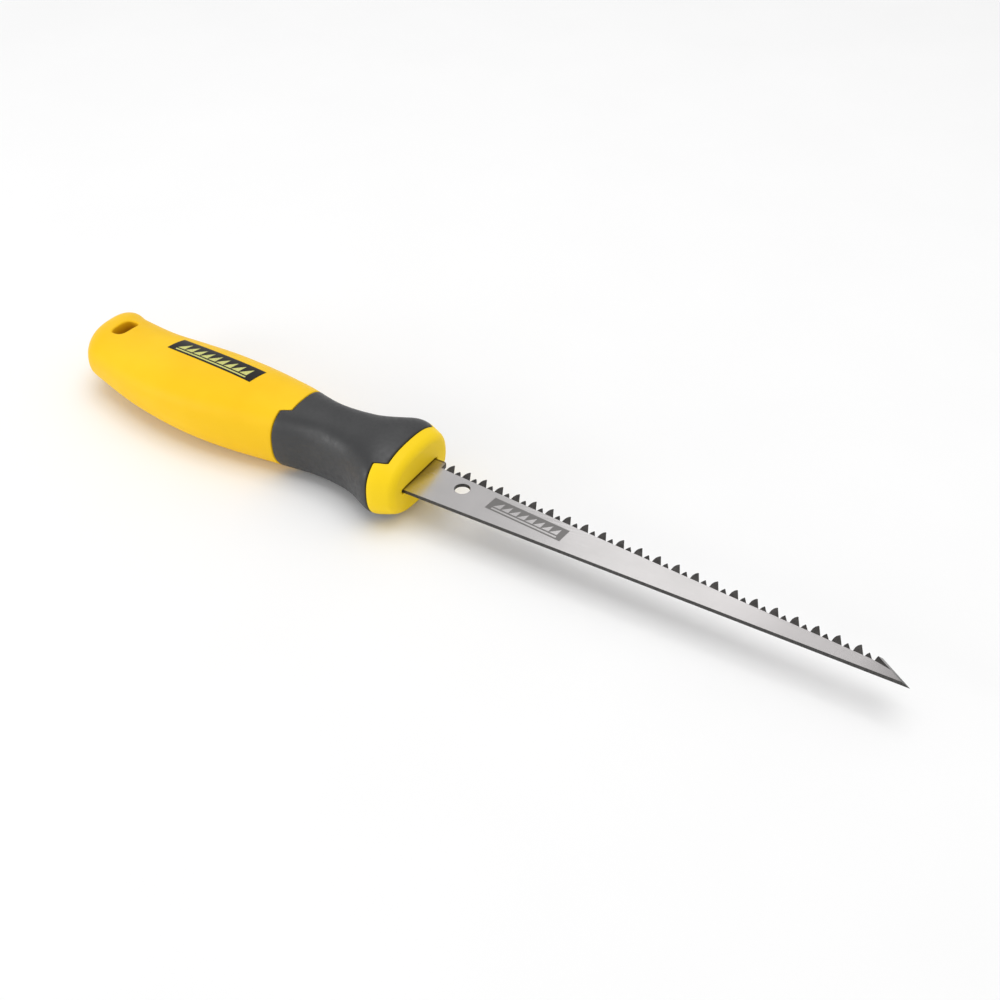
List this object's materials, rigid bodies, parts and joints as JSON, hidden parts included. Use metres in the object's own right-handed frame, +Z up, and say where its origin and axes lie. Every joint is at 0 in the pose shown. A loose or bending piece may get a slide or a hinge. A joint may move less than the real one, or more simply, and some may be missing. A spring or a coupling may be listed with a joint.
{
  "type": "drywall jab saw",
  "caption": "Fixed-blade jab saw: tapered toothed steel blade with a piercing tip, moulded into a hard plastic handle with a soft waist grip and a hanging hole.",
  "frame": {"origin": "bottom centre of the whole saw's box, with the saw lying on its side", "axes": "+X towards the blade's tip, +Y towards the teeth, +Z up through the blade's face"},
  "size_m": [0.3115, 0.0434, 0.0263],
  "materials": {
    "blade_steel": "satin ground steel, dark ground teeth and edges",
    "yellow_plastic": "satin moulded plastic with a fine spark texture",
    "charcoal_rubber": "soft matt rubber",
    "label_film": "printed black film with a plain pale motif"
  },
  "bodies": {
    "root": {"blade": "blade_steel", "handle_core": "yellow_plastic", "grip_sleeve": "charcoal_rubber", "handle_label": "label_film"}
  },
  "joints": []
}
